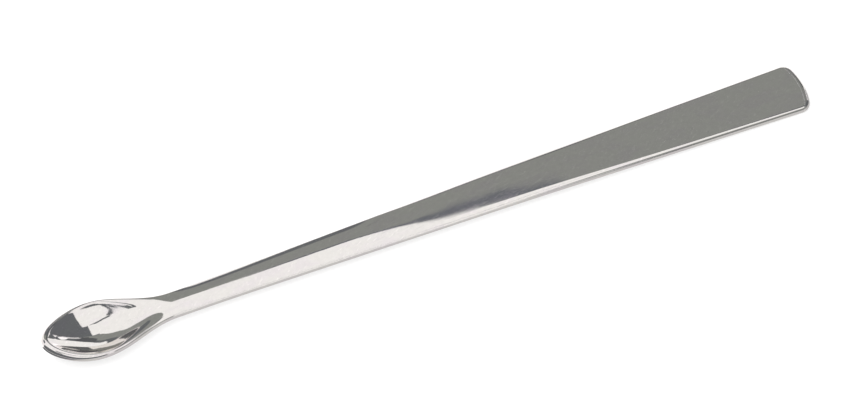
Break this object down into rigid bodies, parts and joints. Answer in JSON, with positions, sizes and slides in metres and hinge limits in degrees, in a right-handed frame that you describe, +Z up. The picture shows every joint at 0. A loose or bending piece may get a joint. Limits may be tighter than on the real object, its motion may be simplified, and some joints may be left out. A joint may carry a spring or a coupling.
{
  "type": "laboratory spatula",
  "caption": "Laboratory spoon spatula of polished stainless steel: a dished bowl, a slim crowned handle that widens along its length, and a flat blade with a bowed end.",
  "frame": {"origin": "centre of the bounding box, on the bench that the spatula rests on", "axes": "+X along the handle from the spoon bowl to the blade's end, +Z up with the dish open upwards"},
  "size_m": [0.18, 0.0144, 0.0059],
  "materials": {
    "steel": "polished stainless steel, with fine hairline marks"
  },
  "bodies": {
    "root": {"spatula": "steel"}
  },
  "joints": []
}
